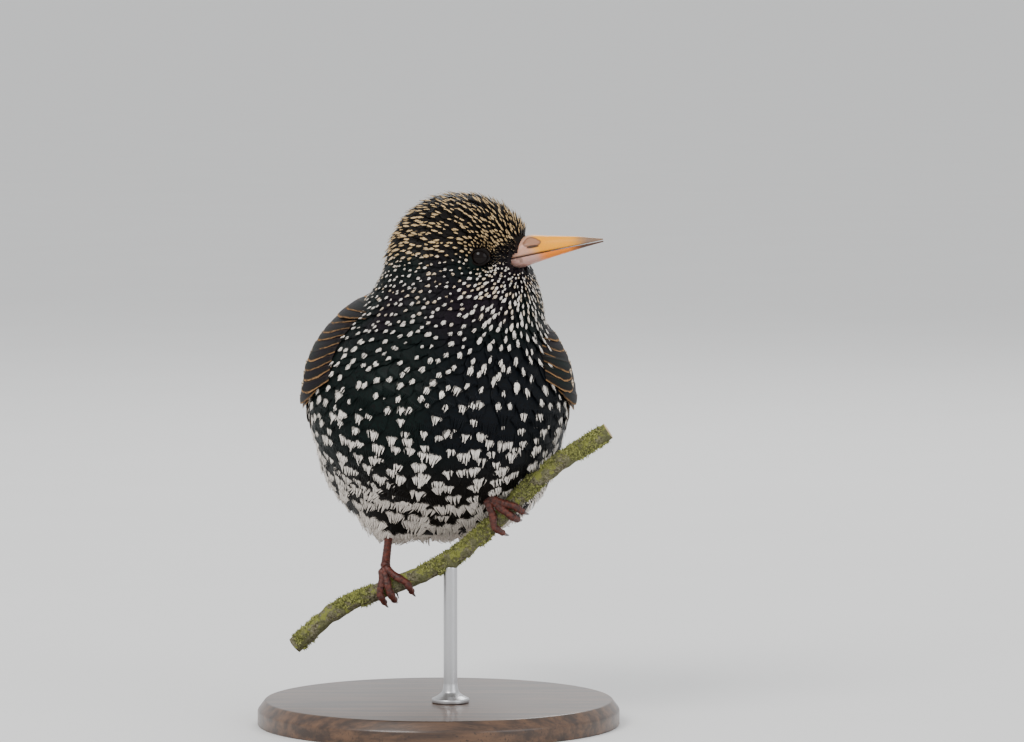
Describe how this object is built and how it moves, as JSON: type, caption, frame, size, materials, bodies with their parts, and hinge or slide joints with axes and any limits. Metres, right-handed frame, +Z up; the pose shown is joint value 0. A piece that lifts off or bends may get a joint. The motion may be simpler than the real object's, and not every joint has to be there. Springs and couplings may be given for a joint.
{
  "type": "starling",
  "caption": "Still, life-size starling in winter plumage, puffed up and looking over its left shoulder, on a cut twig held by one rod above a round base.",
  "frame": {"origin": "middle of the display base's flat underside, which stands on the floor", "axes": "+Z up; the bird faces -Y, its left side is +X and its tail points to +Y"},
  "size_m": [0.116, 0.1676, 0.17],
  "materials": {
    "plumage": "glossy black feathers with a green and purple sheen and pale buff to white tips",
    "flight_feathers": "dark brown vanes with buff edges",
    "eye": "wet, glossy, almost black",
    "bill": "smooth horn, yellow-orange with a pinkish base and a dark tip",
    "legs": "reddish-brown scaled skin",
    "claws": "smooth dark horn",
    "perch": "rough olive-grey bark with yellow-green moss",
    "stand_wood": "dark stained and satin varnished",
    "stand_steel": "fine brushed"
  },
  "bodies": {
    "root": {"head": "plumage", "neck": "plumage", "torso": "plumage", "thigh_right": "plumage", "thigh_left": "plumage", "wing_right": "flight_feathers", "wing_left": "flight_feathers", "tail": "flight_feathers", "eye_right": "eye", "eye_left": "eye", "bill_upper": "bill", "bill_lower": "bill", "tarsus_right": "legs", "tarsus_left": "legs", "claw_middle_right": "claws", "claw_inner_right": "claws", "claw_outer_right": "claws", "claw_hind_right": "claws", "claw_middle_left": "claws", "claw_inner_left": "claws", "claw_outer_left": "claws", "claw_hind_left": "claws", "perch": "perch", "stand_base": "stand_wood", "stand_rod": "stand_steel", "foot_right": "legs", "foot_left": "legs"}
  },
  "joints": []
}
